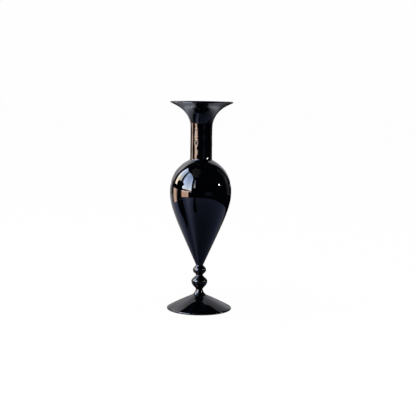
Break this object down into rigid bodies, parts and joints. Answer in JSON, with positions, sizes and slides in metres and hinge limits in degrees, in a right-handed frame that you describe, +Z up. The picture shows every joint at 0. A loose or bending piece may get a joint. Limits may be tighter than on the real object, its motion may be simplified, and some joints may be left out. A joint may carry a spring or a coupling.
{
  "type": "glass vase",
  "caption": "Black glass vase for flower stems, with a flared trumpet mouth, straight neck, teardrop body, beaded stem and a round domed foot.",
  "frame": {"origin": "centre of the ring that the foot stands on, at the level of the table", "axes": "+Z up along the axis that every piece is turned about; X and Y are level, and the vase is the same all round"},
  "size_m": [0.078, 0.078, 0.25],
  "materials": {
    "blown_black_glass": "polished",
    "solid_black_glass": "polished"
  },
  "bodies": {
    "root": {"mouth_funnel": "blown_black_glass", "neck_tube": "blown_black_glass", "body_bulb": "blown_black_glass", "upper_knop": "solid_black_glass", "lower_knop": "solid_black_glass", "foot_collar": "solid_black_glass", "foot": "blown_black_glass"}
  },
  "joints": []
}
